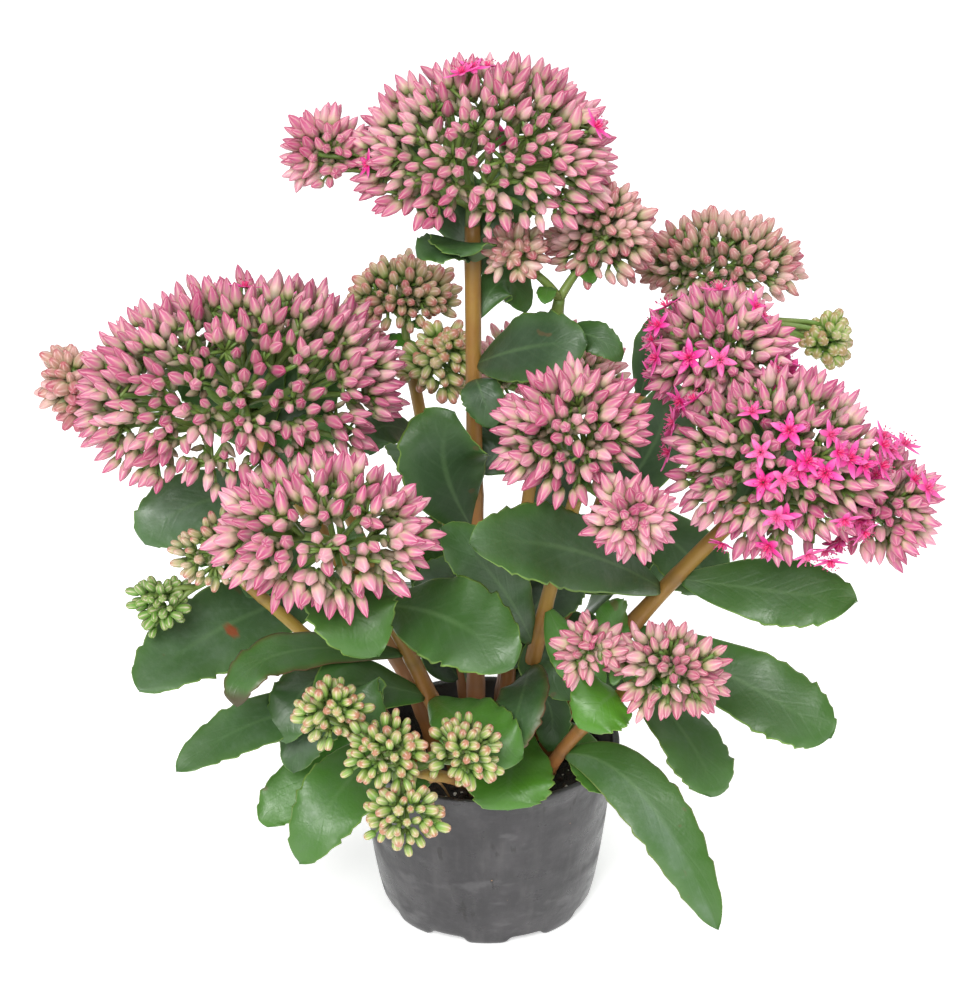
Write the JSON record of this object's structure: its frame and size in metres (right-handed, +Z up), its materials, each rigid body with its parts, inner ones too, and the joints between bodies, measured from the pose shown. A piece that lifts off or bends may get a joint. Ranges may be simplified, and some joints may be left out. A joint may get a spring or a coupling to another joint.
{
  "type": "potted sedum plant",
  "caption": "Stonecrop plant in a round nursery pot: fleshy stems, broad toothed leaves and domed flower heads of pointed buds",
  "frame": {"origin": "centre of the flat underside of the pot", "axes": "+Z up the plant, -Y towards the viewer of the picture, +X to the viewer's right"},
  "size_m": [0.3208, 0.2344, 0.3255],
  "materials": {
    "pot_plastic": "satin",
    "soil": "matte",
    "stem": "satin",
    "leaf": "satin",
    "bud_pink": "matte",
    "bud_pale": "matte"
  },
  "bodies": {
    "root": {"head_back": "bud_pink", "head_back_left": "bud_pink", "head_back_right": "bud_pale", "head_centre": "bud_pink", "head_front_left": "bud_pink", "head_left": "bud_pink", "head_left_low": "bud_pale", "head_low_front": "bud_pale", "head_low_right": "bud_pink", "head_middle_back": "bud_pale", "head_right": "bud_pink", "head_top": "bud_pink", "head_upper_right": "bud_pink", "leaf_back": "leaf", "leaf_back_left": "leaf", "leaf_back_middle": "leaf", "leaf_back_right": "leaf", "leaf_centre_green": "leaf", "leaf_centre_low": "leaf", "leaf_centre_lowest": "leaf", "leaf_front_broad": "leaf", "leaf_front_dark": "leaf", "leaf_front_narrow": "leaf", "leaf_front_oval": "leaf", "leaf_front_red": "leaf", "leaf_front_rim": "leaf", "leaf_front_wide": "leaf", "leaf_left_back": "leaf", "leaf_left_broad": "leaf", "leaf_left_drooping": "leaf", "leaf_left_folded": "leaf", "leaf_left_long": "leaf", "leaf_left_small": "leaf", "leaf_left_upper": "leaf", "leaf_middle_dark": "leaf", "leaf_right_back": "leaf", "leaf_right_broad": "leaf", "leaf_right_green": "leaf", "leaf_right_hanging": "leaf", "leaf_right_long": "leaf", "leaf_right_low": "leaf", "leaf_right_round": "leaf", "leaf_top_left": "leaf", "leaf_top_right": "leaf", "leaf_upper_right": "leaf", "pot": "pot_plastic", "soil": "soil", "stem_back": "stem", "stem_back_left": "stem", "stem_back_right": "stem", "stem_centre": "stem", "stem_front_left": "stem", "stem_left": "stem", "stem_left_low": "stem", "stem_low_front": "stem", "stem_low_right": "stem", "stem_middle_back": "stem", "stem_right": "stem", "stem_top": "stem", "stem_upper_right": "stem"}
  },
  "joints": []
}
